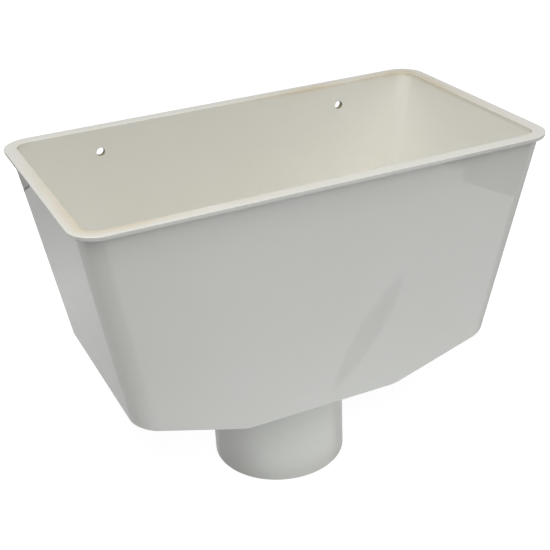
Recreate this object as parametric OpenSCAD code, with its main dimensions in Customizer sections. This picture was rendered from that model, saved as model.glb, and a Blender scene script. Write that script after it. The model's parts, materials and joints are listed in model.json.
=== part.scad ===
// Downpipe hopper head, moulded in one piece.
// An open basin with leaning walls and a flat rim narrows to a sloping bottom,
// and a round spigot under it goes into a downpipe's socket. The back wall is upright and
// has two screw holes. The origin is on the spigot's axis, at its lower end,
// with +X along the width, +Y towards the building and +Z up.

/* [Rim] */
// Width across the rim, end to end
rim_w = 225; // [205:1:300]
// Depth across the rim, back to front
rim_d = 126; // [116:1:180]
// How far the rim stands out past the walls, all round
rim_overhang = 3; // [1:0.25:6]
// Thickness of the rim
rim_t = 2; // [1.6:0.1:4]
// How far the lower outer edge of the rim is drawn in under its upper one
rim_draft = 0.2; // [0:0.05:0.5]
// Round along the upper outer edge of the rim
rim_top_edge_r = 0.3; // [0.2:0.1:0.6]
// Round along the lower outer edge of the rim
rim_low_edge_r = 0.5; // [0.3:0.1:1.2]
// Round along the inner edge of the rim
rim_mouth_edge_r = 0.3; // [0.2:0.1:1.5]

/* [Basin] */
// Height of the whole hopper, spigot end to rim
height = 175; // [150:1:260]
// Width of the basin at the foot of its end walls
bottom_w = 185; // [150:1:205]
// Depth of the basin at its bottom
bottom_d = 105; // [98:1:118]
// Width of the level middle of the bottom
level_w = 79; // [72:1:120]
// Rise of the bottom from its level middle to each end wall
bottom_rise = 18; // [4:1:40]
// Round where the level middle of the bottom bends up into each slope
knee_r = 20; // [14:1:40]
// Thickness of the walls
wall = 3; // [1.6:0.1:4]
// Thickness of the bottom
floor_t = 3; // [1.6:0.1:6]
// Radius of the upright corners, outside
corner_r = 10; // [8:0.5:18]
// Round along the edges of the bottom, outside
bottom_edge_r = 1.2; // [0.4:0.1:2.5]

/* [Spigot] */
// Outside diameter of the spigot
spigot_d = 68; // [50:1:74]
// Length of the spigot below the bottom
spigot_len = 54; // [25:1:90]
// Thickness of the spigot
spigot_wall = 3; // [1.6:0.1:6]
// Round at the spigot's outer end
spigot_edge_r = 0.8; // [0.2:0.1:1.2]
// Round where the bottom turns down into the outlet
throat_r = 3; // [1:0.5:4]
// Distance from the spigot's axis to the outside of the back wall
back_y = 51.5; // [46:0.5:58]

/* [Screw holes] */
// Diameter of each screw hole in the back wall
hole_d = 4.25; // [3:0.25:8]
// Distance between the two screw holes
hole_spacing = 131; // [60:1:170]
// Distance from the rim's top down to the screw holes
hole_drop = 12; // [8:0.5:40]

/* [Hidden] */
// Heights
rim_z = height - rim_t;
level_z = spigot_len;
end_z = level_z + bottom_rise;
floor_z = level_z + floor_t;

// Half widths and front faces of the basin, outside
rim_half_w = rim_w / 2;
top_half_w = rim_half_w - rim_overhang;
bottom_half_w = bottom_w / 2;
level_half_w = level_w / 2;
rim_back_y = back_y + rim_overhang;
rim_front_y = rim_back_y - rim_d;
top_front_y = rim_front_y + rim_overhang;
bottom_front_y = back_y - bottom_d;

// Leans of the end walls and the front wall, and slope of the bottom
end_lean = (top_half_w - bottom_half_w) / (rim_z - end_z);
front_lean = (bottom_front_y - top_front_y) / (rim_z - level_z);
bottom_slope = bottom_rise / (bottom_half_w - level_half_w);
end_angle = atan(end_lean);
front_angle = atan(front_lean);
slope_angle = atan(bottom_slope);

// Insides
bore_r = spigot_d / 2 - spigot_wall;
inner_corner_r = corner_r - wall;
inner_edge_r = bottom_edge_r + wall;

// How far a cut runs past the face that it opens
past = 1;
// Thickness of a level slice that only gives an outline
slice = 0.01;
// Flat strips along the rounded inner edge of the rim
mouth_steps = 3;
// Steps along the bend at each knee of the bottom
knee_steps = 4;
// Turn of the throat's round, just short of level
throat_turn = 75;
hull_fn = 32;
round_fn = 96;

// Half width of the basin at a height, drawn in by a wall thickness
function end_x(z, inset) =
    bottom_half_w + end_lean * (z - end_z) - inset / cos(end_angle);

// Front face of the basin at a height, drawn in by a wall thickness
function front_y(z, inset) =
    bottom_front_y - front_lean * (z - level_z) + inset / cos(front_angle);

// Disc with a fully rounded edge, lying level: a ball where the edge is its whole radius
module disc(r, edge) {
    rotate_extrude($fn = hull_fn)
        intersection() {
            translate([r - edge, 0])
                circle(r = edge, $fn = hull_fn / 2);
            translate([0, -edge])
                square([r, 2 * edge]);
        }
}

// Level slice with round corners, the same at each corner of the basin
module corner_slices(z, inset, r, h) {
    x = end_x(z, inset) - r;
    for (side = [-1, 1])
        for (y = [front_y(z, inset) + r, back_y - inset - r])
            translate([side * x, y, z])
                cylinder(r = r, h = h, $fn = hull_fn);
}

// Discs where an end wall, the front or back wall and the sloping bottom meet.
// Each lies along the slope and touches all three faces, drawn in by inset and rise.
module bottom_corners(inset, rise, r, edge) {
    end_reach = (r - edge) * cos(slope_angle + end_angle) + edge;
    off_front = sin(front_angle) * cos(slope_angle);
    front_reach = (r - edge) * sqrt(1 - off_front * off_front) + edge;
    lift = (rise + edge) / cos(slope_angle);
    in_x = ((inset + end_reach) / cos(end_angle) - end_lean * lift) / (1 - end_lean * bottom_slope);
    x = bottom_half_w - in_x;
    z = end_z - bottom_slope * in_x + lift;
    for (side = [-1, 1])
        for (y = [front_y(z, inset) + front_reach / cos(front_angle), back_y - inset - r])
            translate([side * x, y, z])
                rotate([0, -side * slope_angle, 0])
                    disc(r, edge);
}

// Balls along the bend where the level middle of the bottom turns up into each slope
module level_corners(inset, rise, edge) {
    bend_r = knee_r - rise - edge;
    for (step = [0 : knee_steps]) {
        turn = slope_angle * step / knee_steps;
        x = level_half_w - knee_r * tan(slope_angle / 2) + bend_r * sin(turn);
        z = level_z + knee_r - bend_r * cos(turn);
        for (side = [-1, 1])
            for (y = [front_y(z, inset) + edge / cos(front_angle), back_y - inset - edge])
                translate([side * x, y, z])
                    disc(edge, edge);
    }
}

// Outside of the basin, up into the rim
module basin_outside() {
    hull() {
        corner_slices(rim_z + rim_t / 2, 0, corner_r, slice);
        bottom_corners(0, 0, corner_r, bottom_edge_r);
        level_corners(0, 0, bottom_edge_r);
    }
}

// Inside of the basin, upright where it passes through the rim
module basin_inside() {
    hull() {
        corner_slices(rim_z, wall, inner_corner_r, rim_t + past);
        bottom_corners(wall, floor_t, inner_corner_r, inner_edge_r);
        level_corners(wall, floor_t, inner_edge_r);
    }
}

// Rim as a plate with round corners, and outer edges that are rounded and lean in
module rim_plate() {
    r = corner_r + rim_overhang;
    hull()
        for (x = [-rim_half_w + r, rim_half_w - r])
            for (y = [rim_front_y + r, rim_back_y - r])
                translate([x, y, rim_z])
                    rotate_extrude($fn = hull_fn)
                        rim_section(r);
}

// Half section of one rim corner, whose edges the plate joins up
module rim_section(r) {
    low_x = r - rim_draft - rim_low_edge_r;
    top_x = r - rim_top_edge_r;
    square([low_x, rim_t]);
    translate([0, rim_t - rim_top_edge_r])
        square([top_x, rim_top_edge_r]);
    translate([low_x, rim_low_edge_r])
        circle(r = rim_low_edge_r, $fn = hull_fn / 2);
    translate([top_x, rim_t - rim_top_edge_r])
        circle(r = rim_top_edge_r, $fn = hull_fn / 2);
}

// Cut that rounds the inner edge of the rim, as cones along its quarter circle
module mouth_round() {
    e = rim_mouth_edge_r;
    low = height - e - past / 10;
    high = height + past / 10;
    for (step = [0 : mouth_steps - 1]) {
        from = 90 * step / mouth_steps;
        to = 90 * (step + 1) / mouth_steps;
        flare = (cos(from) - cos(to)) / (sin(to) - sin(from));
        at_z = height - e + e * sin(from);
        at_r = inner_corner_r + e * (1 - cos(from));
        hull()
            for (side = [-1, 1])
                for (y = [front_y(rim_z, wall) + inner_corner_r, back_y - wall - inner_corner_r])
                    translate([side * (end_x(rim_z, wall) - inner_corner_r), y, low])
                        cylinder(h = high - low, r1 = at_r + flare * (low - at_z),
                                 r2 = at_r + flare * (high - at_z), $fn = hull_fn);
    }
}

// Spigot, solid, up into the bottom
module spigot_outside() {
    r = spigot_d / 2;
    rotate_extrude($fn = round_fn) {
        translate([0, spigot_edge_r])
            square([r, level_z + floor_t / 2 - spigot_edge_r]);
        square([r - spigot_edge_r, level_z]);
        translate([r - spigot_edge_r, spigot_edge_r])
            circle(r = spigot_edge_r, $fn = hull_fn);
    }
}

// Waterway through the spigot, with a round throat and a bevelled lower edge
module outlet() {
    throat_z = floor_z - throat_r * sin(throat_turn);
    bevel = spigot_edge_r / 2;
    rotate_extrude($fn = round_fn)
        difference() {
            union() {
                translate([0, -past])
                    square([bore_r, floor_z + 2 * past]);
                translate([0, throat_z])
                    square([bore_r + throat_r, floor_z + past - throat_z]);
                polygon([[0, -past], [bore_r + bevel + past, -past], [bore_r, bevel], [0, bevel]]);
            }
            translate([bore_r + throat_r, throat_z])
                circle(r = throat_r, $fn = round_fn);
        }
}

// Screw holes through the back wall
module screw_holes() {
    for (side = [-1, 1])
        translate([side * hole_spacing / 2, back_y + past, height - hole_drop])
            rotate([90, 0, 0])
                cylinder(d = hole_d, h = wall + 2 * past, $fn = round_fn / 2);
}

module hopper() {
    color([0.87, 0.87, 0.84])
        difference() {
            union() {
                basin_outside();
                rim_plate();
                spigot_outside();
            }
            basin_inside();
            mouth_round();
            outlet();
            screw_holes();
        }
}

hopper();
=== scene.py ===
"""Dressed model of a moulded downpipe hopper head, laid out as an add-on and run as a script.

The moulding is one closed shell. A band of rings goes up the outside of the basin, over the rim and
down the inside. Patches close the bottom on both sides, a second band makes the spigot and its bore,
and a small band lines each screw hole.
"""
import json
import math

import bmesh
import bpy
import numpy as np
from bpy.props import FloatProperty, FloatVectorProperty, PointerProperty
from mathutils import Matrix, Vector


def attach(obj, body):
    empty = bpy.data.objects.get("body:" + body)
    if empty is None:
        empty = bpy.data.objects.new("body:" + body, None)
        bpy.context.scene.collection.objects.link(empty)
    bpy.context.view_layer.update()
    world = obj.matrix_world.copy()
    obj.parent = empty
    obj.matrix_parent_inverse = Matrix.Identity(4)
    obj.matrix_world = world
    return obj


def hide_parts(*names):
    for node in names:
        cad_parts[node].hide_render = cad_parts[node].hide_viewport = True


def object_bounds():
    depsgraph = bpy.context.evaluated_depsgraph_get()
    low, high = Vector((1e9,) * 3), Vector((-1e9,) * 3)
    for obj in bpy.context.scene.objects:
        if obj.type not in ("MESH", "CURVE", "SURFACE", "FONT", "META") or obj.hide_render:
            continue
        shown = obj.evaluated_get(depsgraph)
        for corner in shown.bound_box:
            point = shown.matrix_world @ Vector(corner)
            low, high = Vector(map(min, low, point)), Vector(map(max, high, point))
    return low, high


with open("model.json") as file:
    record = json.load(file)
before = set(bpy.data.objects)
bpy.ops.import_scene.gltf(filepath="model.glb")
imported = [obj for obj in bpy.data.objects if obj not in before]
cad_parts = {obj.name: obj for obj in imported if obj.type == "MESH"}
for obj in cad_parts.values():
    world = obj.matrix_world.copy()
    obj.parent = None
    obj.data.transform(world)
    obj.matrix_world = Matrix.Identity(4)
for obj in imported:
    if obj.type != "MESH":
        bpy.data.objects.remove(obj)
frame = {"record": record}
CAD_LOW, CAD_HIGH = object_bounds()
MOUNTS = {mount["name"]: mount for mount in frame["record"]["mounts"]}

bl_info = {
    "name": "Downpipe Hopper Head",
    "version": (1, 0, 0),
    "blender": (4, 5, 0),
    "location": "View3D > Sidebar > Hopper",
    "description": "Builds a moulded rainwater hopper head, its finish and a plain studio",
    "category": "Object",
}

MM = 0.001

# Steps along the parts of the mesh
FOOT_STEPS = 6
WALL_STEPS = 8
LEVEL_STEPS = 6
UNDER_RIM_STEPS = 2
EDGE_STEPS = 6
RIM_TOP_STEPS = 4
RING_STEPS = 8
SPIGOT_STEPS = 8
THROAT_STEPS = 10
SMALL_ROUND_STEPS = 4
# Height of the first level ring above the foot of the end walls
FIRST_LEVEL = 30 * MM
# Distance from an edge or its round to the row next to it
SUPPORT = 0.3 * MM
# Distance from a screw hole's radius to the row round it, as a multiple of the hole's round
HOLE_SUPPORT = 4
# Rounds after which the height of the foot along each column has settled
SETTLE_ROUNDS = 12
# Points closer than this are merged
MERGE_DISTANCE = 0.002 * MM
# Shares of ageing on the rows across the rim's top, at the end of the rim's inner face and down the wall
RIM_TOP_AGE = (0.05, 0.1, 0.3, 0.55, 0.8)
RIM_END_AGE = (0.5, 0.3)
INNER_WALL_AGE = (0.2, 0.1, 0.0)
# Shares of painted shade on the rows of a screw hole, from a face of the wall to the middle of the hole
HOLE_PAINTED_SHADE = (0.0, 0.0, 0.0, 0.3, 0.7, 1.0, 1.0)


def length(name, description, default):
    """A length in metres, as a property"""
    return FloatProperty(name=name, description=description, default=default, precision=4,
                         unit="LENGTH", subtype="DISTANCE")


def share(name, description, default):
    """A plain number, as a property"""
    return FloatProperty(name=name, description=description, default=default, min=0.0, precision=3)


def angle(name, description, degrees):
    """An angle, as a property"""
    return FloatProperty(name=name, description=description, default=math.radians(degrees),
                         precision=3, unit="ROTATION", subtype="ANGLE")


def colour(name, description, default):
    """A linear colour, as a property"""
    return FloatVectorProperty(name=name, description=description, default=default, size=3,
                               min=0.0, max=1.0, subtype="COLOR")


class HopperSizes(bpy.types.PropertyGroup):
    """Sizes of the moulding"""
    rim_overhang: length("Rim overhang", "How far the rim stands out past the walls", 3 * MM)
    rim_thickness: length("Rim thickness", "Thickness of the flat rim", 2 * MM)
    rim_draft: length("Rim draft", "How far the rim's lower edge is drawn in under its upper one",
                      0.2 * MM)
    rim_low_round: length("Rim low round", "Round along the rim's lower outer edge", 0.5 * MM)
    rim_top_round: length("Rim top round", "Round along the rim's upper outer edge", 0.3 * MM)
    mouth_round: length("Mouth round", "Round along the rim's inner edge", 0.3 * MM)
    wall: length("Wall", "Thickness of the walls", 3 * MM)
    floor: length("Floor", "Thickness of the bottom", 3 * MM)
    corner_radius: length("Corner radius", "Radius of the upright corners, outside", 10 * MM)
    foot_width: length("Foot width", "Width at the foot of the end walls", 185 * MM)
    foot_depth: length("Foot depth", "Depth of the basin at its bottom", 105 * MM)
    foot_rise: length("Foot rise", "Rise of the bottom from its middle to its ends", 18 * MM)
    foot_round: length("Foot round", "Round along the edges of the bottom, outside", 1.2 * MM)
    level_width: length("Level width", "Width of the level middle of the bottom", 79 * MM)
    knee_round: length("Knee round", "Round where the level middle bends up into a slope", 20 * MM)
    spigot_radius: length("Spigot radius", "Outside radius of the spigot",
                          MOUNTS["outlet_spigot"]["dims"]["r_mm"] * MM)
    bore_radius: length("Bore radius", "Radius of the waterway",
                        MOUNTS["outlet_bore"]["dims"]["r_mm"] * MM)
    spigot_length: length("Spigot length", "Length of the spigot below the bottom", 54 * MM)
    spigot_round: length("Spigot round", "Round at the spigot's outer end", 0.8 * MM)
    bore_round: length("Bore round", "Round at the spigot's inner end", 0.4 * MM)
    neck_round: length("Neck round", "Round where the spigot meets the bottom", 0.5 * MM)
    throat_round: length("Throat round", "Round where the floor turns into the outlet", 3 * MM)
    hole_radius: length("Hole radius", "Radius of each screw hole",
                        MOUNTS["wall_screws"]["dims"]["hole_r_mm"] * MM)
    hole_spacing: length("Hole spacing", "Distance between the screw holes",
                         MOUNTS["wall_screws"]["dims"]["spacing_x_mm"] * MM)
    hole_height: length("Hole height", "Height of the screw holes",
                        MOUNTS["wall_screws"]["pos_m"][2])
    hole_round: length("Hole round", "Round at each edge of a screw hole", 0.12 * MM)


class PlasticFinish(bpy.types.PropertyGroup):
    """Finish of the moulded plastic"""
    base: colour("Base", "Colour of the plastic", (0.912, 0.901, 0.838))
    mottle: colour("Mottle", "Colour in the faint cloudy patches", (0.897, 0.881, 0.812))
    aged: colour("Aged", "Colour that the mouth's edge has yellowed to", (0.76, 0.64, 0.42))
    ageing: share("Ageing", "How far the mouth's edge has yellowed", 0.82)
    ageing_turn: angle("Ageing turn", "Direction from the mouth's middle in which it has yellowed most",
                       30)
    # Painted shade: a dark brown that colours the screw holes' lining in place of the shade inside them
    painted_shade: colour("Grime", "Colour of the dirt inside the screw holes", (0.52, 0.47, 0.33))
    roughness: share("Roughness", "Roughness of the smooth surface", 0.02)
    scuff: share("Scuff", "Roughness added in the faint rubbed streaks", 0.03)
    wave: length("Wave", "Height of the slow waves that moulding leaves in the faces", 0.02 * MM)
    grain: length("Grain", "Height of the fine grain", 0.001 * MM)


class StudioSetting(bpy.types.PropertyGroup):
    """Camera and light of the plain studio"""
    azimuth: angle("Azimuth", "Direction of the camera round the object", -24.38)
    elevation: angle("Elevation", "Height of the camera above the horizon", 27.14)
    roll: angle("Roll", "Turn of the camera about its own axis", -2.67)
    distance: length("Distance", "From the camera to its target", 548.0 * MM)
    target_x: length("Target X", "Camera target, across", 2.0 * MM)
    target_z: length("Target Z", "Camera target, height", 100.03 * MM)
    focal_pixels: share("Focal length", "Focal length in pixels of the square image", 1101.4)
    key_power: share("Key", "Power of the softbox high in front, in watts", 9.65)
    front_power: share("Front", "Power of the softbox in front, in watts", 4.37)
    right_power: share("Right", "Power of the low softbox on the right, in watts", 3.0)
    left_power: share("Left", "Power of the softbox on the left, in watts", 2.65)
    back_power: share("Back", "Power of the low softbox behind, in watts", 4.2)
    bounce_power: share("Bounce", "Power of the light that comes up from the floor, in watts", 0.071)
    bounce_tint: colour("Bounce tint", "Colour of the light that comes up from the floor",
                        (0.87, 0.97, 1.0))
    low_left_power: share("Low left", "Power of the small lamp on the spigot's left, in watts", 0.00085)
    low_right_power: share("Low right", "Power of the small lamp on the spigot's right, in watts",
                           0.00052)
    sky: share("Sky", "Strength of the even light from all round", 0.02)


class Form:
    """Heights, leans and plan of the moulding, worked out from its sizes.

    The plan at any height is a core rectangle grown by a corner radius, so a ring of the basin is its
    core plus the radius times an outward direction. The core narrows downwards as the walls lean.
    """

    def __init__(self, sizes):
        self.sizes = sizes
        self.top_z = CAD_HIGH.z
        self.rim_z = self.top_z - sizes.rim_thickness
        self.level_z = sizes.spigot_length
        self.end_z = self.level_z + sizes.foot_rise
        self.back_y = CAD_HIGH.y - sizes.rim_overhang
        self.top_front_y = CAD_LOW.y + sizes.rim_overhang
        self.top_half_w = CAD_HIGH.x - sizes.rim_overhang
        self.inner_radius = sizes.corner_radius - sizes.wall
        foot_half_w = sizes.foot_width / 2
        foot_front_y = self.back_y - sizes.foot_depth
        self.end_lean = (self.top_half_w - foot_half_w) / (self.rim_z - self.end_z)
        self.front_lean = (foot_front_y - self.top_front_y) / (self.rim_z - self.level_z)
        self.slope = sizes.foot_rise / (foot_half_w - sizes.level_width / 2)

    def core(self, z, inset, radius):
        """Half width, front and back of the core rectangle of the wall's face at a height, moved in by
        inset along its normal"""
        half_w = self.top_half_w - self.end_lean * (self.rim_z - z)
        front = self.top_front_y + self.front_lean * (self.rim_z - z)
        return (half_w - inset * math.hypot(1, self.end_lean) - radius,
                front + inset * math.hypot(1, self.front_lean) + radius,
                self.back_y - inset - radius)

    def bottom(self, x, rise):
        """Height and slope of the bottom moved up by rise along its normal. It is level up to the knee, a
        parabola through the bend and an even slope past it."""
        half_turn = math.tan(math.atan(self.slope) / 2)
        bend = (self.sizes.knee_round - rise) * half_turn
        past = np.abs(x) - (self.sizes.level_width / 2 - rise * half_turn)
        turned = np.clip((past + bend) / (2 * bend), 0, 1)
        height = self.level_z + rise + self.slope * (bend * turned**2 + np.maximum(past - bend, 0))
        return height, np.sign(x) * self.slope * turned


def index_of(stops, stop):
    """Index of a stop in a row of stops"""
    return int(np.flatnonzero(np.isclose(stops, stop))[0])


class Columns:
    """Columns of the basin's rings, anticlockwise from above, starting at the left end of the front.

    Each has an outward direction in plan and a place on the core: along the front and back a column
    keeps its own x up to a widest one, and the few past it spread to the corner.
    """
    # Steps round a corner, along an end, and along half of the front or back: over the level middle, the
    # bend, the slope and a screw hole
    corner_steps = 12
    end_steps = 20
    level_steps = 9
    bend_steps = 8
    slope_steps = 5
    hole_steps = 10
    # Half the square of the grid that a screw hole takes up
    hole_block = 5 * MM
    # Widest x that a column keeps, and shares of the way from there to the corner
    widest = 76 * MM
    spread_shares = (0.35, 0.7, 1.0)
    # Decimals of a metre to which two stops are the same
    decimals = 9

    def __init__(self, form):
        sizes = form.sizes
        knee = sizes.level_width / 2
        hole = sizes.hole_spacing / 2
        bend = sizes.knee_round * math.tan(math.atan(form.slope) / 2)
        stops = np.concatenate([
            np.linspace(0, knee - bend, self.level_steps + 1),
            np.linspace(knee - bend, knee + bend, self.bend_steps + 1),
            np.linspace(knee + bend, hole - self.hole_block, self.slope_steps + 1),
            np.linspace(hole - self.hole_block, hole + self.hole_block, self.hole_steps + 1),
            [self.widest]])
        stops = np.unique(np.round(stops, self.decimals))
        past = np.array(self.spread_shares)
        side = np.concatenate([np.stack([stops, 0 * stops], 1),
                               np.stack([self.widest + 0 * past, past], 1)])
        line = np.concatenate([-side[:0:-1], side])
        turn = np.linspace(0, math.pi / 2, self.corner_steps + 1)[1:-1]
        ends = np.linspace(0, 1, self.end_steps + 1)
        right = np.array([self.widest, 1.0])

        def piece(place, depth, direction):
            """Rows for one stretch of columns: own x, share of the spread, share of the depth, direction"""
            place, depth, direction = np.broadcast_arrays(
                np.atleast_2d(place), np.atleast_1d(depth)[:, None], np.atleast_1d(direction)[:, None])
            return np.stack([place[:, 0], place[:, 1], depth[:, 0], direction[:, 0]], 1)

        quarter = math.pi / 2
        table = np.concatenate([
            piece(line, np.zeros(len(line)), np.full(len(line), -quarter)),
            piece(right, np.zeros(len(turn)), turn - quarter),
            piece(right, ends, np.zeros(len(ends))),
            piece(right, np.ones(len(turn)), turn),
            piece(line[::-1], np.ones(len(line)), np.full(len(line), quarter)),
            piece(-right, np.ones(len(turn)), turn + quarter),
            piece(-right, ends[::-1], np.full(len(ends), 2 * quarter)),
            piece(-right, np.zeros(len(turn)), turn + 2 * quarter)])
        self.fixed, self.spread, self.depth, direction = table.T
        self.out = np.stack([np.cos(direction), np.sin(direction)], 1)
        self.lean = (form.end_lean * np.abs(self.out[:, 0])
                     + form.front_lean * np.maximum(-self.out[:, 1], 0))
        self.count = len(table)
        self.front_line = np.arange(len(line))
        self.back_line = np.arange(len(line)) + len(line) + 2 * len(turn) + len(ends)
        self.right_mid_front = len(line) + len(turn) // 2
        self.right_mid_back = len(line) + len(turn) + len(ends) + len(turn) // 2
        self.left_mid_back = self.back_line[-1] + 1 + len(turn) // 2
        self.left_mid_front = self.count - 1 - len(turn) // 2
        self.middle = len(line) // 2
        self.knee_steps = index_of(stops, knee)
        self.hole_first = index_of(stops, hole - self.hole_block)

    def ring(self, core, radius, z):
        """Points of rings: core place plus radius times the outward direction, at heights z"""
        half_w, front, back = core
        x = self.fixed + self.spread * (half_w - self.widest) + radius * self.out[:, 0]
        y = front + self.depth * (back - front) + radius * self.out[:, 1]
        return np.stack(np.broadcast_arrays(x, y, z), -1)


def arc(centre, radius, start, end, steps):
    """Points (across, up) on an arc, angles in degrees, both ends included"""
    a = np.radians(np.linspace(start, end, steps + 1))
    return np.stack([centre[0] + radius * np.cos(a), centre[1] + radius * np.sin(a)], 1)


def basin_foot(form, columns, inset, rise, radius, edge):
    """Rounded foot of the wall, as rows from the wall down to the bottom.

    Ball centres lie one edge radius from the wall's face and from the bottom's face. Each row adds the
    edge radius along a direction that turns from the wall's normal to the bottom's normal.
    """
    across = np.hypot(1, columns.lean)
    z = np.full(columns.count, form.end_z)
    for _ in range(SETTLE_ROUNDS):
        centre = columns.ring(form.core(z, inset, radius), radius - edge * across, z)
        z, slope = form.bottom(centre[:, 0], rise + edge)
    centre[:, 2] = z
    wall_out = np.column_stack([columns.out, -columns.lean]) / across[:, None]
    flat = np.zeros_like(slope)
    bottom_out = np.stack([slope, flat, flat - 1], 1) / np.hypot(1, slope)[:, None]
    total = np.arccos(np.clip((wall_out * bottom_out).sum(1), -1, 1))[:, None]
    turn = np.linspace(0, 1, FOOT_STEPS + 1)[:, None, None]
    direction = np.sin((1 - turn) * total) * wall_out + np.sin(turn * total) * bottom_out
    direction /= np.sin(total)
    return centre + edge * direction


def wall_rows(form, columns, inset, radius, foot, levels):
    """Rows of a leaning wall from its foot up: shares of the way from each column's foot to the first
    level, then level rings"""
    shares = np.linspace(0, 1, WALL_STEPS + 1)[1:, None]
    z = np.concatenate([foot[:, 2] + shares * (levels[0] - foot[:, 2]),
                        np.repeat(levels[1:, None], columns.count, 1)])
    return columns.ring(form.core(z, inset, radius), radius, z)


def wall_levels(form, columns):
    """Heights of the level rings, with one through every step of the screw holes"""
    hole, block = form.sizes.hole_height, columns.hole_block
    return np.concatenate([
        np.linspace(form.end_z + FIRST_LEVEL, hole - block, LEVEL_STEPS + 1),
        np.linspace(hole - block, hole + block, columns.hole_steps + 1)[1:],
        np.linspace(hole + block, form.rim_z - SUPPORT, UNDER_RIM_STEPS + 1)[1:]])


def rim_rows(form, columns):
    """Rows over the rim, from the wall under it to the mouth, and each row's share of ageing. The rows are a
    profile of radius and height carried round the core, which shifts from the wall's outer face to its
    inner one."""
    s = form.sizes
    mouth = form.inner_radius + s.mouth_round
    top_x = s.corner_radius + s.rim_overhang - s.rim_top_round
    low_x = top_x + s.rim_top_round - s.rim_draft - s.rim_low_round
    top_z, low_z = form.top_z - s.rim_top_round, form.rim_z + s.rim_low_round
    reach = math.hypot(top_x - low_x, top_z - low_z)
    lean = math.degrees(math.atan2(top_z - low_z, top_x - low_x)
                        - math.acos((s.rim_low_round - s.rim_top_round) / reach))
    outer = np.concatenate([
        [[s.corner_radius, form.rim_z], [s.corner_radius + SUPPORT, form.rim_z],
         [low_x - SUPPORT, form.rim_z]],
        arc((low_x, low_z), s.rim_low_round, -90, lean, EDGE_STEPS),
        arc((top_x, top_z), s.rim_top_round, lean, 90, EDGE_STEPS),
        [[top_x - SUPPORT, form.top_z]]])
    inner = np.concatenate([
        [[mouth + SUPPORT, form.top_z]],
        arc((mouth, form.top_z - s.mouth_round), s.mouth_round, 90, 180, EDGE_STEPS),
        [[form.inner_radius, form.rim_z + SUPPORT], [form.inner_radius, form.rim_z]]])
    outside = form.core(form.rim_z, 0.0, s.corner_radius)
    inside = form.core(form.rim_z, s.wall, form.inner_radius)
    outer_rows = [columns.ring(outside, r, z) for r, z in outer]
    inner_rows = [columns.ring(inside, r, z) for r, z in inner]
    across = inner_rows[0] - outer_rows[-1]
    top_rows = [outer_rows[-1] + t * across for t in np.linspace(0, 1, RIM_TOP_STEPS + 1)[1:-1]]
    age = np.concatenate([
        np.zeros(len(outer_rows) + len(top_rows) - len(RIM_TOP_AGE)), RIM_TOP_AGE,
        np.ones(len(inner_rows) - len(RIM_END_AGE)), RIM_END_AGE])
    return np.array(outer_rows + top_rows + inner_rows), age


def weathering(form, columns, turn):
    """Share by which each column's stretch of the mouth has aged: a squared wave of twice its direction from
    the mouth's middle, so that it is highest in one direction and the opposite one"""
    radius = form.sizes.corner_radius
    x, y, _ = columns.ring(form.core(form.rim_z, 0.0, radius), radius, form.rim_z).T
    direction = np.arctan2(y - (CAD_LOW.y + CAD_HIGH.y) / 2, x)
    return (0.5 + 0.5 * np.cos(2 * (direction - turn)))**2


def coons(front, back, near, far):
    """Patch between four edges: the two straight blends of facing edges, less the blend of the corners.
    front and back run away from near, near and far run from front to back."""
    s = np.linspace(0, 1, len(front))[None, :, None]
    t = np.linspace(0, 1, len(near))[:, None, None]
    corners = ((1 - s) * (1 - t) * front[0] + s * (1 - t) * front[-1]
               + (1 - s) * t * back[0] + s * t * back[-1])
    return (1 - t) * front + t * back + (1 - s) * near[:, None] + s * far[:, None] - corners


def bottom_patches(form, columns, loop, rise, neck, angles):
    """Bottom of the basin inside its foot, as two sloping patches and a ring round the outlet.

    The patches are worked out in plan, with the height as the gap to the bottom's own surface, which
    is added back at the end. The ring ends on a circle of the neck's radius, at the given angles, or where
    there are none at those of its own outer edge, and the angles are the last value.
    """
    lifted = loop.copy()
    lifted[:, 2] -= form.bottom(loop[:, 0], rise)[0]
    k, mid, n = columns.knee_steps, columns.middle, columns.count
    front_left, front_right = columns.front_line[mid - k], columns.front_line[mid + k]
    back_right, back_left = columns.back_line[mid - k], columns.back_line[mid + k]
    steps = columns.right_mid_back - columns.right_mid_front
    way = np.linspace(0, 1, steps + 1)[:, None]
    right_knee = lifted[front_right] + way * (lifted[back_right] - lifted[front_right])
    left_knee = lifted[back_left] + way * (lifted[front_left] - lifted[back_left])
    right = coons(lifted[front_right:columns.right_mid_front + 1],
                  lifted[columns.right_mid_back:back_right + 1][::-1], right_knee,
                  lifted[columns.right_mid_front:columns.right_mid_back + 1])
    left_front = np.arange(columns.left_mid_front, n + front_left + 1) % n
    left = coons(lifted[back_left:columns.left_mid_back + 1], lifted[left_front][::-1], left_knee,
                 lifted[columns.left_mid_back:columns.left_mid_front + 1])
    edge = np.concatenate([lifted[front_left:front_right], right_knee[:-1],
                           lifted[back_right:back_left], left_knee[:-1]])
    if angles is None:
        angles = np.arctan2(edge[:, 1], edge[:, 0])
    circle = np.stack([neck * np.cos(angles), neck * np.sin(angles), 0 * angles], 1)
    inward = np.linspace(0, 1, RING_STEPS + 1)[:, None, None]
    ring = edge + inward * (circle - edge)
    for patch in (right, left, ring):
        patch[..., 2] += form.bottom(patch[..., 0], rise)[0]
    return right, left, ring, angles


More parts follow.
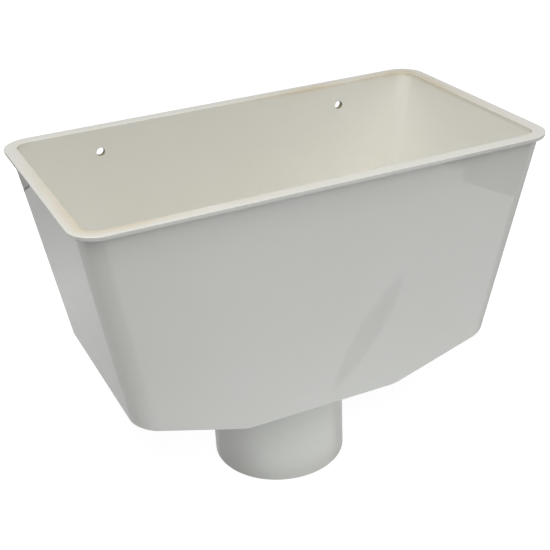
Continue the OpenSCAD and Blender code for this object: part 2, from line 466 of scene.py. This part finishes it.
def spigot_rows(form, angles):
    """Spigot and bore: a profile of radius and height turned round the outlet's axis"""
    s = form.sizes
    floor_z = form.level_z + s.floor
    outer, inner = s.spigot_radius, s.bore_radius
    drop = np.linspace(form.level_z - s.neck_round, s.spigot_round, SPIGOT_STEPS + 1)[1:-1]
    climb = np.linspace(s.bore_round, floor_z - s.throat_round, SPIGOT_STEPS + 1)[1:-1]
    profile = np.concatenate([
        arc((outer + s.neck_round, form.level_z - s.neck_round), s.neck_round, 90, 180, SMALL_ROUND_STEPS),
        np.stack([np.full(len(drop), outer), drop], 1),
        arc((outer - s.spigot_round, s.spigot_round), s.spigot_round, 0, -90, EDGE_STEPS),
        arc((inner + s.bore_round, s.bore_round), s.bore_round, -90, -180, SMALL_ROUND_STEPS),
        np.stack([np.full(len(climb), inner), climb], 1),
        arc((inner + s.throat_round, floor_z - s.throat_round), s.throat_round, 180, 90, THROAT_STEPS)])
    radius, height = profile[:, :1], profile[:, 1:]
    return np.stack(np.broadcast_arrays(radius * np.cos(angles), radius * np.sin(angles), height), -1)


def hole_rows(form, columns, side):
    """Lining of a screw hole: a square of the wall's grid closes to a circle, turns through the wall
    with a small round at each face and opens to the same square inside"""
    s = form.sizes
    steps, block = columns.hole_steps, columns.hole_block
    t = np.linspace(-1, 1, steps + 1)[:-1]
    one = np.ones(steps)
    square = block * np.concatenate([np.stack([t, -one], 1), np.stack([one, t], 1),
                                     np.stack([-t, one], 1), np.stack([-one, -t], 1)])
    turn = np.radians(-135 + 90 * np.arange(4 * steps) / steps)
    circle = np.stack([np.cos(turn), np.sin(turn)], 1)
    outside, inside = form.back_y, form.back_y - s.wall
    r, e = s.hole_radius, s.hole_round
    flat = r + HOLE_SUPPORT * e
    profile = np.concatenate([
        [[flat, outside]], arc((r + e, outside - e), e, 90, 180, SMALL_ROUND_STEPS),
        arc((r + e, inside + e), e, 180, 270, SMALL_ROUND_STEPS), [[flat, inside]]])
    plan = np.concatenate([square[None], profile[:, :1, None] * circle, square[None]])
    depth = np.concatenate([[outside], profile[:, 1], [inside]])[:, None]
    across = side * s.hole_spacing / 2 + plan[..., 0]
    return np.stack(np.broadcast_arrays(across, depth, s.hole_height + plan[..., 1]), -1)


class ShellMesh:
    """Grids of points gathered into one mesh, with shares of mouth ageing and of painted shade in the screw
    holes on each point
    """

    def __init__(self):
        self.points, self.faces, self.count = [], [], 0
        # Ageing of the mouth's edge, and painted shade in the screw holes
        self.marks = {"mouth_age": [], "hole_grime": []}

    def add(self, grid, closed, cut=(), **marks):
        """Adds a grid as quads. A closed grid joins its last column to its first. Each cut is a block of
        faces, as first row, last row, first column, last column, that is left out. Each mark has shares
        for the rows and columns, none where it isn't given."""
        rows, columns = grid.shape[:2]
        index = np.arange(rows * columns).reshape(rows, columns) + self.count
        if closed:
            index = np.concatenate([index, index[:, :1]], 1)
        quads = np.stack([index[:-1, :-1], index[:-1, 1:], index[1:, 1:], index[1:, :-1]], -1)
        keep = np.ones(quads.shape[:2], bool)
        for row_from, row_to, column_from, column_to in cut:
            keep[row_from:row_to, column_from:column_to] = False
        self.points.append(grid.reshape(-1, 3))
        self.faces.append(quads[keep])
        for name, shares in self.marks.items():
            shares.append(np.broadcast_to(marks.get(name, 0.0), (rows, columns)).ravel())
        self.count += rows * columns

    def build(self, name):
        """One object from the grids, with meeting points merged and faces turned outwards"""
        mesh = bpy.data.meshes.new(name)
        mesh.from_pydata(np.concatenate(self.points).tolist(), [], np.concatenate(self.faces).tolist())
        for mark, shares in self.marks.items():
            attribute = mesh.attributes.new(mark, "FLOAT", "POINT")
            attribute.data.foreach_set("value", np.concatenate(shares).astype(np.float32))
        shell = bmesh.new()
        shell.from_mesh(mesh)
        bmesh.ops.remove_doubles(shell, verts=shell.verts, dist=MERGE_DISTANCE)
        bmesh.ops.recalc_face_normals(shell, faces=shell.faces)
        open_edges = sum(not edge.is_manifold for edge in shell.edges)
        shell.to_mesh(mesh)
        shell.free()
        if open_edges:
            raise RuntimeError(f"the shell has {open_edges} open edges")
        mesh.polygons.foreach_set("use_smooth", np.ones(len(mesh.polygons), bool))
        made = bpy.data.objects.new(name, mesh)
        bpy.context.scene.collection.objects.link(made)
        return made


def moulded_shell(sizes, finish):
    """The whole moulding as one closed mesh"""
    form = Form(sizes)
    columns = Columns(form)
    outer_foot = basin_foot(form, columns, 0.0, 0.0, sizes.corner_radius, sizes.foot_round)
    inner_foot = basin_foot(form, columns, sizes.wall, sizes.floor, form.inner_radius,
                            sizes.foot_round + sizes.wall)
    levels = wall_levels(form, columns)
    outer_wall = wall_rows(form, columns, 0.0, sizes.corner_radius, outer_foot[0], levels)
    inner_wall = wall_rows(form, columns, sizes.wall, form.inner_radius, inner_foot[0], levels)
    rim, rim_age = rim_rows(form, columns)
    band = np.concatenate([outer_foot[::-1], outer_wall, rim, inner_wall[::-1], inner_foot])
    age = np.concatenate([np.zeros(len(outer_foot) + len(outer_wall)), rim_age, INNER_WALL_AGE,
                          np.zeros(len(inner_wall) - len(INNER_WALL_AGE) + len(inner_foot))])
    age = np.outer(age, weathering(form, columns, finish.ageing_turn))

    steps, middle, first = columns.hole_steps, columns.middle, columns.hole_first
    low = index_of(levels, sizes.hole_height - columns.hole_block)
    outer_row = len(outer_foot) + WALL_STEPS - 1 + low
    inner_row = len(band) - 1 - outer_row - steps
    right_hole = columns.back_line[middle - first - steps]
    left_hole = columns.back_line[middle + first]
    cut = [(row, row + steps, column, column + steps)
           for row in (outer_row, inner_row) for column in (right_hole, left_hole)]

    shell = ShellMesh()
    shell.add(band, True, cut, mouth_age=age)
    # Painted shade, deepest in the middle of each screw hole's lining
    painted_shade = np.array(HOLE_PAINTED_SHADE + HOLE_PAINTED_SHADE[::-1])[:, None]
    for side in (-1, 1):
        shell.add(hole_rows(form, columns, side), True, hole_grime=painted_shade)
    neck = sizes.spigot_radius + sizes.neck_round
    throat = sizes.bore_radius + sizes.throat_round
    angles = None
    for loop, rise, outlet in ((outer_foot[-1], 0.0, neck), (inner_foot[-1], sizes.floor, throat)):
        right, left, ring, angles = bottom_patches(form, columns, loop, rise, outlet, angles)
        shell.add(right, False)
        shell.add(left, False)
        shell.add(ring, True)
    shell.add(spigot_rows(form, angles), True)
    return shell.build("hopper_shell")


def add_node(tree, kind, inputs=None, **settings):
    """A shader node with its settings; an input given as a socket is linked, any other is set"""
    made = tree.nodes.new(kind)
    for key, value in settings.items():
        setattr(made, key, value)
    for key, value in (inputs or {}).items():
        if isinstance(value, bpy.types.NodeSocket):
            tree.links.new(value, made.inputs[key])
        else:
            made.inputs[key].default_value = value
    return made


def new_material(name):
    """An empty node material and its output node"""
    material = bpy.data.materials.new(name)
    material.use_nodes = True
    material.node_tree.nodes.clear()
    return material, material.node_tree, material.node_tree.nodes.new("ShaderNodeOutputMaterial")


def opaque(rgb):
    """A colour with full alpha"""
    return (*rgb, 1.0)


def grey(tone):
    """A grey with full alpha"""
    return (tone, tone, tone, 1.0)


def clouds_group():
    """Node group that gives soft cloudy patches: noise in the object's own coordinates, stretched along
    the axes and cut between a low and a high level to a share from 0 to 1"""
    name = "soft_clouds"
    if name in bpy.data.node_groups:
        return bpy.data.node_groups[name]
    group = bpy.data.node_groups.new(name, "ShaderNodeTree")
    face = group.interface
    face.new_socket("Stretch", in_out="INPUT", socket_type="NodeSocketVector")
    for label in ("Detail", "Seed", "Low", "High"):
        face.new_socket(label, in_out="INPUT", socket_type="NodeSocketFloat")
    face.new_socket("Share", in_out="OUTPUT", socket_type="NodeSocketFloat")
    given = group.nodes.new("NodeGroupInput").outputs
    place = add_node(group, "ShaderNodeTexCoord").outputs["Object"]
    stretched = add_node(group, "ShaderNodeVectorMath", {0: place, 1: given["Stretch"]},
                         operation="MULTIPLY")
    noise = add_node(group, "ShaderNodeTexNoise", {
        "Vector": stretched.outputs["Vector"], "W": given["Seed"], "Scale": 1.0, "Detail": given["Detail"],
    }, noise_dimensions="4D")
    cut = add_node(group, "ShaderNodeMapRange", {
        "Value": noise.outputs["Fac"], "From Min": given["Low"], "From Max": given["High"]})
    add_node(group, "NodeGroupOutput", {"Share": cut.outputs["Result"]})
    return group


def clouds(tree, stretch, detail, seed, low, high):
    """Share socket of a soft_clouds node"""
    made = add_node(tree, "ShaderNodeGroup", node_tree=clouds_group())
    for label, value in (("Stretch", stretch), ("Detail", detail), ("Seed", seed), ("Low", low),
                         ("High", high)):
        made.inputs[label].default_value = value
    return made.outputs["Share"]


def blend(tree, factor, first, second):
    """Colour socket that goes from the first colour to the second by a factor"""
    made = add_node(tree, "ShaderNodeMix", {"Factor": factor}, data_type="RGBA")
    for label, value in (("A", first), ("B", second)):
        socket = next(s for s in made.inputs if s.name == label and s.type == "RGBA")
        if isinstance(value, bpy.types.NodeSocket):
            tree.links.new(value, socket)
        else:
            socket.default_value = opaque(value)
    return next(s for s in made.outputs if s.type == "RGBA")


PLASTIC_IOR = 1.5


def plastic_material(finish):
    """Pale moulded plastic: faint cloudy patches, a yellowed mouth edge, painted shade in the screw holes,
    rubbed streaks that are a little rougher, slow moulding waves and fine grain"""
    material, tree, output = new_material("pale_moulded_plastic")
    cloudy = clouds(tree, stretch=(22, 22, 22), detail=3.0, seed=0.0, low=0.35, high=0.7)
    ground = blend(tree, cloudy, finish.base, finish.mottle)
    edge = add_node(tree, "ShaderNodeAttribute", attribute_name="mouth_age").outputs["Fac"]
    patches = clouds(tree, stretch=(26, 26, 26), detail=2.0, seed=9.0, low=0.28, high=0.58)
    worn = add_node(tree, "ShaderNodeMath", {0: edge, 1: patches}, operation="MULTIPLY")
    aged = add_node(tree, "ShaderNodeMath", {0: worn.outputs[0], 1: finish.ageing}, operation="MULTIPLY")
    yellowed = blend(tree, aged.outputs[0], ground, finish.aged)
    # Painted shade: the screw holes' lining is coloured darker towards the middle of each hole
    painted_hole_shade = add_node(tree, "ShaderNodeAttribute", attribute_name="hole_grime").outputs["Fac"]
    coloured = blend(tree, painted_hole_shade, yellowed, finish.painted_shade)
    streaks = clouds(tree, stretch=(420, 420, 14), detail=2.0, seed=1.0, low=0.5, high=0.8)
    rough = add_node(tree, "ShaderNodeMapRange", {
        "Value": streaks, "To Min": finish.roughness, "To Max": finish.roughness + finish.scuff})
    wave = clouds(tree, stretch=(16, 16, 16), detail=1.0, seed=2.0, low=0.0, high=1.0)
    grain = clouds(tree, stretch=(700, 700, 700), detail=1.0, seed=3.0, low=0.0, high=1.0)
    slow = add_node(tree, "ShaderNodeBump", {"Height": wave, "Distance": finish.wave})
    fine = add_node(tree, "ShaderNodeBump", {"Height": grain, "Distance": finish.grain,
                                             "Normal": slow.outputs["Normal"]})
    shader = add_node(tree, "ShaderNodeBsdfPrincipled", {
        "Base Color": coloured, "Roughness": rough.outputs["Result"], "IOR": PLASTIC_IOR,
        "Normal": fine.outputs["Normal"]})
    tree.links.new(shader.outputs["BSDF"], output.inputs["Surface"])
    return material


class HOPPER_OT_add_shell(bpy.types.Operator):
    """Build the moulded shell and give it its finish"""
    bl_idname = "hopper.add_shell"
    bl_label = "Add Moulded Shell"

    def execute(self, context):
        finish = context.scene.hopper_finish
        shell = moulded_shell(context.scene.hopper_sizes, finish)
        shell.data.materials.append(plastic_material(finish))
        normals = shell.modifiers.new("flat_faces_first", "WEIGHTED_NORMAL")
        normals.keep_sharp = True
        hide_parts("hopper")
        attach(shell, "root")
        return {"FINISHED"}


# The photograph's frame in pixels, and the camera's sensor in millimetres
IMAGE_PIXELS = 550
SENSOR_WIDTH = 36.0
# Softboxes: name, direction round the object and height in degrees, power setting
SOFTBOXES = (
    ("key_softbox", -130, 68, "key_power"),
    ("front_softbox", -80, 45, "front_power"),
    ("right_softbox", 0, 6, "right_power"),
    ("left_softbox", 181, 35, "left_power"),
    ("back_softbox", 90, 4, "back_power"),
)
SOFTBOX_AIM = (0.0, 0.0, 0.12)
SOFTBOX_DISTANCE = 1.3
SOFTBOX_SIZE = (0.6, 0.6)
# Light that comes up from the floor in front: middle, and width and depth
BOUNCE_MIDDLE = (0.08, -0.14, 0.003)
BOUNCE_SIZE = (0.40, 0.16)
# Small low lamps on the spigot: name, place, power setting
LOW_LAMPS = (
    ("low_left_lamp", (-0.12, -0.32, 0.012), "low_left_power"),
    ("low_right_lamp", (0.15, -0.32, 0.012), "low_right_power"),
)
LOW_AIM = (-0.002, 0.0, 0.002)
LOW_SIZE = (0.05, 0.05)
LOW_SPREAD = math.radians(11)


def add_lamp(name, place, away, size, power):
    """A rectangular area lamp at a place, looking the other way from a direction, unseen by the camera"""
    lamp = bpy.data.lights.new(name, "AREA")
    lamp.shape = "RECTANGLE"
    lamp.size, lamp.size_y = size
    lamp.energy = power
    made = bpy.data.objects.new(name, lamp)
    bpy.context.scene.collection.objects.link(made)
    made.location = place
    made.rotation_euler = (-away).to_track_quat("-Z", "Y").to_euler()
    made.visible_camera = False
    return made


def add_lamps(studio):
    """The softboxes round the object, the light that comes up from the floor in front of it, and two small
    low lamps on its spigot"""
    for name, azimuth, elevation, power in SOFTBOXES:
        turn, height = math.radians(azimuth), math.radians(elevation)
        flat = math.cos(height)
        away = Vector((math.cos(turn) * flat, math.sin(turn) * flat, math.sin(height)))
        place = Vector(SOFTBOX_AIM) + away * SOFTBOX_DISTANCE
        add_lamp(name, place, away, SOFTBOX_SIZE, getattr(studio, power))
    down = Vector((0, 0, -1))
    bounce = add_lamp("floor_bounce", BOUNCE_MIDDLE, down, BOUNCE_SIZE, studio.bounce_power)
    bounce.data.color = studio.bounce_tint
    bounce.visible_glossy = False
    for name, place, power in LOW_LAMPS:
        away = Vector(place) - Vector(LOW_AIM)
        low = add_lamp(name, place, away, LOW_SIZE, getattr(studio, power))
        low.data.spread = LOW_SPREAD
        low.data.color = studio.bounce_tint
        low.visible_glossy = False


def add_flat(name, corners, material):
    """A flat stage piece from its corner points"""
    mesh = bpy.data.meshes.new(name)
    mesh.from_pydata(corners, [], [tuple(range(len(corners)))])
    mesh.materials.append(material)
    made = bpy.data.objects.new(name, mesh)
    bpy.context.scene.collection.objects.link(made)
    return made


# Floor: half its width, its paint, its tone to the camera, and the glow that fades to full white between two
# distances from the object
FLOOR_REACH = 3.0
FLOOR_PAINT = (0.53, 0.54, 0.57)
FLOOR_TONE = 0.30
FLOOR_GLOW = 0.9
FADE_START = 0.3
FADE_END = 1.0


def floor_material():
    """Pale floor: paint that lights the object, white to reflections, and to the camera white with a faint
    shadow, which ends some way out"""
    material, tree, output = new_material("pale_floor")
    seen = add_node(tree, "ShaderNodeLightPath")
    place = add_node(tree, "ShaderNodeTexCoord").outputs["Object"]
    away = add_node(tree, "ShaderNodeVectorMath", {0: place}, operation="LENGTH")
    fade = add_node(tree, "ShaderNodeMapRange", {
        "Value": away.outputs["Value"], "From Min": FADE_START, "From Max": FADE_END,
        "To Min": FLOOR_GLOW, "To Max": 1.0})
    paint = add_node(tree, "ShaderNodeBsdfDiffuse", {"Color": opaque(FLOOR_PAINT)})
    white = add_node(tree, "ShaderNodeEmission", {"Strength": 1.0})
    shown = add_node(tree, "ShaderNodeBsdfDiffuse", {"Color": grey(FLOOR_TONE)})
    glow = add_node(tree, "ShaderNodeEmission", {"Strength": fade.outputs["Result"]})
    lit = add_node(tree, "ShaderNodeAddShader", {0: shown.outputs["BSDF"], 1: glow.outputs["Emission"]})
    mirrored = add_node(tree, "ShaderNodeMixShader", {
        0: seen.outputs["Is Glossy Ray"], 1: paint.outputs["BSDF"], 2: white.outputs["Emission"]})
    both = add_node(tree, "ShaderNodeMixShader", {
        0: seen.outputs["Is Camera Ray"], 1: mirrored.outputs["Shader"], 2: lit.outputs["Shader"]})
    tree.links.new(both.outputs["Shader"], output.inputs["Surface"])
    return material


def card_material(name, tone):
    """Even grey that only reflections show"""
    material, tree, output = new_material(name)
    shader = add_node(tree, "ShaderNodeEmission", {"Color": grey(tone), "Strength": 1.0})
    tree.links.new(shader.outputs["Emission"], output.inputs["Surface"])
    return material


def fading_material(name, axis, tones):
    """Grey that only reflections show and that changes along an axis, through places with their tones"""
    material, tree, output = new_material(name)
    place = add_node(tree, "ShaderNodeTexCoord").outputs["Object"]
    along = add_node(tree, "ShaderNodeSeparateXYZ", {0: place}).outputs[axis]
    start, end = tones[0][0], tones[-1][0]
    way = add_node(tree, "ShaderNodeMapRange", {"Value": along, "From Min": start, "From Max": end})
    ramp = add_node(tree, "ShaderNodeValToRGB", {0: way.outputs["Result"]})
    stops = ramp.color_ramp.elements
    while len(stops) < len(tones):
        stops.new(0.5)
    for stop, (at, tone) in zip(stops, tones):
        stop.position = (at - start) / (end - start)
        stop.color = grey(tone)
    shader = add_node(tree, "ShaderNodeEmission", {"Color": ramp.outputs["Color"], "Strength": 1.0})
    tree.links.new(shader.outputs["Emission"], output.inputs["Surface"])
    return material


# Cards on the floor that only the plastic's reflections see: name, tone and corners in metres. A corner may
# give the bulge of the side that starts there. They are the dark surroundings past the front right, a grey
# crescent in front, a painted shadow for the floor in shade under the object, and the darker floor on the
# right.
FLOOR_CARDS = (
    ("side_card", 0.03, ((0.19, -0.30), (0.70, -0.55), (0.70, -0.19), (0.271, -0.19, 0.0013),
                         (0.216, -0.251), (0.228, -0.261))),
    ("sheet_edge", 0.35, ((0.036, -0.103, 0.0062), (0.129, -0.179, 0.0065))),
    # Painted shadow: the floor in the basin's shade, as a mid grey that only reflections show
    ("under_card", 0.55, ((-0.10, -0.03), (0.10, -0.03), (0.10, 0.06), (-0.10, 0.06))),
    ("right_card", 0.42, ((0.10, 0.0), (0.27, -0.19), (0.70, -0.19), (0.70, 0.40), (0.10, 0.40))),
)
# Cards on the floor whose tone changes along one axis: name, axis, corners, and places with their tones. They
# are the floor behind, a strip beside the object on the left, and the dark floor at the front left.
FADING_CARDS = (
    ("back_card", "Y", ((-0.6, 0.06), (0.10, 0.06), (0.10, 0.387), (-0.6, 0.387)),
     ((0.06, 0.52), (0.21, 0.67), (0.29, 0.54), (0.345, 0.48), (0.387, 0.48))),
    ("left_strip", "Y", ((-0.45, -0.03), (-0.10, -0.03), (-0.10, 0.06), (-0.45, 0.06)),
     ((-0.03, 0.3), (0.06, 0.57))),
    ("left_card", "X", ((-0.45, -0.32), (0.02, -0.32), (0.02, -0.11), (-0.10, -0.03), (-0.45, -0.03)),
     ((-0.45, 0.02), (-0.14, 0.02), (-0.09, 0.25), (-0.05, 0.7), (0.02, 1.0))),
)
# Cards that stand behind: a grey board and the dark gap under it, as name, tone, bottom and top
BACK_Y = 0.387
BOARD_REACH = 0.6
STANDING_CARDS = (
    ("back_board", 0.28, 0.0028, 0.6),
    ("back_gap", 0.02, 0.0, 0.0028),
)
# Height of the cards on the floor, and steps along a side with a bulge
CARD_HEIGHT = 0.001
BULGE_STEPS = 12


def outline(corners):
    """Points round a card on the floor: its corners, and along a side with a bulge a parabola that stands
    out to the right of the way by that much in the middle"""
    points = []
    for index, (x, y, *bulge) in enumerate(corners):
        start = Vector((x, y))
        way = Vector(corners[(index + 1) % len(corners)][:2]) - start
        out = Vector((way.y, -way.x)).normalized()
        steps = BULGE_STEPS if bulge else 1
        shares = np.arange(steps) / steps
        points += [start + way * t + out * (4 * t * (1 - t) * sum(bulge)) for t in shares]
    return [(x, y, CARD_HEIGHT) for x, y in points]


def upright(low, high):
    """Corners of a card that stands behind the object between two heights"""
    return [(-BOARD_REACH, BACK_Y, low), (BOARD_REACH, BACK_Y, low), (BOARD_REACH, BACK_Y, high),
            (-BOARD_REACH, BACK_Y, high)]


def add_cards():
    """Flat cards that give the plastic something to reflect"""
    cards = [add_flat(name, outline(corners), card_material(name, tone))
             for name, tone, corners in FLOOR_CARDS]
    cards += [add_flat(name, upright(low, high), card_material(name, tone))
              for name, tone, low, high in STANDING_CARDS]
    cards += [add_flat(name, outline(corners), fading_material(name, axis, tones))
              for name, axis, corners, tones in FADING_CARDS]
    for card in cards:
        card.visible_camera = False
        card.visible_diffuse = False
        card.visible_transmission = False
        card.visible_shadow = False


def add_camera(studio):
    """Camera at the photograph's angle: behind its target by the distance, rolled about its own axis"""
    camera = bpy.data.objects.new("camera", bpy.data.cameras.new("camera"))
    bpy.context.scene.collection.objects.link(camera)
    camera.data.sensor_width = SENSOR_WIDTH
    camera.data.lens = studio.focal_pixels * SENSOR_WIDTH / IMAGE_PIXELS
    flat = math.cos(studio.elevation)
    back = Vector((math.sin(studio.azimuth) * flat, -math.cos(studio.azimuth) * flat,
                   math.sin(studio.elevation)))
    right = Vector((0, 0, 1)).cross(back).normalized()
    up = back.cross(right)
    turned_right = math.cos(studio.roll) * right + math.sin(studio.roll) * up
    turned_up = back.cross(turned_right)
    pose = Matrix((turned_right, turned_up, back)).transposed().to_4x4()
    pose.translation = Vector((studio.target_x, 0, studio.target_z)) + back * studio.distance
    camera.matrix_world = pose
    bpy.context.scene.camera = camera


def set_world(studio):
    """White to the camera, an even soft light to everything else"""
    world = bpy.data.worlds.new("studio_world")
    bpy.context.scene.world = world
    world.use_nodes = True
    tree = world.node_tree
    tree.nodes.clear()
    output = tree.nodes.new("ShaderNodeOutputWorld")
    seen = add_node(tree, "ShaderNodeLightPath")
    soft = add_node(tree, "ShaderNodeBackground", {"Color": grey(1.0), "Strength": studio.sky})
    bright = add_node(tree, "ShaderNodeBackground", {"Color": grey(1.0), "Strength": 1.0})
    both = add_node(tree, "ShaderNodeMixShader", {
        0: seen.outputs["Is Camera Ray"], 1: soft.outputs["Background"], 2: bright.outputs["Background"]})
    tree.links.new(both.outputs["Shader"], output.inputs["Surface"])


class HOPPER_OT_add_stage(bpy.types.Operator):
    """Set up the floor, the soft lights, the white surroundings and the camera"""
    bl_idname = "hopper.add_stage"
    bl_label = "Add Plain Studio"

    def execute(self, context):
        studio = context.scene.hopper_studio
        corners = [(-FLOOR_REACH, -FLOOR_REACH, 0), (FLOOR_REACH, -FLOOR_REACH, 0),
                   (FLOOR_REACH, FLOOR_REACH, 0), (-FLOOR_REACH, FLOOR_REACH, 0)]
        add_flat("studio_floor", corners, floor_material())
        add_cards()
        add_lamps(studio)
        set_world(studio)
        add_camera(studio)
        context.scene.view_settings.view_transform = "Standard"
        return {"FINISHED"}


class HOPPER_PT_panel(bpy.types.Panel):
    """Sidebar panel with the hopper's sizes, finish and studio"""
    bl_idname = "HOPPER_PT_panel"
    bl_label = "Downpipe Hopper Head"
    bl_space_type = "VIEW_3D"
    bl_region_type = "UI"
    bl_category = "Hopper"

    def draw(self, context):
        scene = context.scene
        for operator, groups in ((HOPPER_OT_add_shell, (scene.hopper_sizes, scene.hopper_finish)),
                                 (HOPPER_OT_add_stage, (scene.hopper_studio,))):
            box = self.layout.box()
            for group in groups:
                for key in group.__annotations__:
                    box.prop(group, key)
            box.operator(operator.bl_idname)


CLASSES = (HopperSizes, PlasticFinish, StudioSetting, HOPPER_OT_add_shell, HOPPER_OT_add_stage,
           HOPPER_PT_panel)


def register():
    """Registers the classes and puts their settings on the scene"""
    for made in CLASSES:
        bpy.utils.register_class(made)
    bpy.types.Scene.hopper_sizes = PointerProperty(type=HopperSizes)
    bpy.types.Scene.hopper_finish = PointerProperty(type=PlasticFinish)
    bpy.types.Scene.hopper_studio = PointerProperty(type=StudioSetting)


def unregister():
    """Takes the settings and the classes away again"""
    del bpy.types.Scene.hopper_studio, bpy.types.Scene.hopper_finish, bpy.types.Scene.hopper_sizes
    for made in reversed(CLASSES):
        bpy.utils.unregister_class(made)


def main():
    """Builds the shell and the studio"""
    register()
    bpy.ops.hopper.add_shell()
    bpy.ops.hopper.add_stage()


if __name__ == "__main__":
    main()
